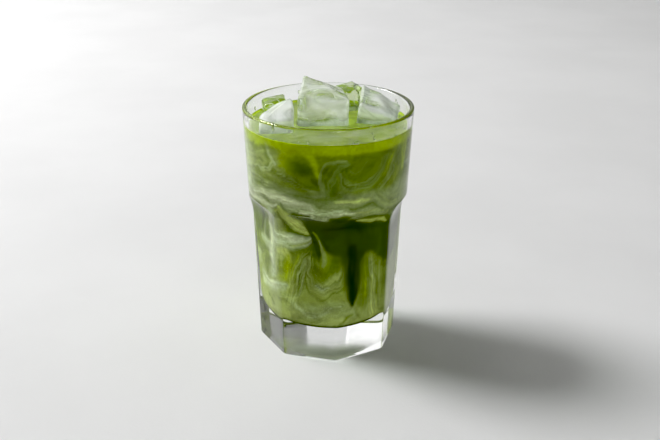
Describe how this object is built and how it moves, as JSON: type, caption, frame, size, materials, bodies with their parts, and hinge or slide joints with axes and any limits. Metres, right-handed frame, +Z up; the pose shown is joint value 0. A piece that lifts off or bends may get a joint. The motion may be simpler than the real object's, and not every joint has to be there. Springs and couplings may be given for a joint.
{
  "type": "iced matcha latte in a tumbler",
  "caption": "Iced green tea latte in a clear tumbler: a round upper band over flat panels and a thick foot, with ice cubes standing out of the drink.",
  "frame": {"origin": "centre of the footprint, on the surface the foot stands on", "axes": "+Z up along the tumbler's axis; -Y towards a corner between two panels"},
  "size_m": [0.088, 0.088, 0.1418],
  "materials": {
    "tumbler_glass": "clear polished glass",
    "drink": "glossy liquid: green tea in clouds and streaks of milk",
    "ice": "wet clear ice with faint cracks"
  },
  "bodies": {
    "root": {"tumbler": "tumbler_glass", "drink": "drink", "ice_centre": "ice", "ice_left_front": "ice", "ice_left_back": "ice", "ice_back": "ice", "ice_right": "ice"}
  },
  "joints": []
}
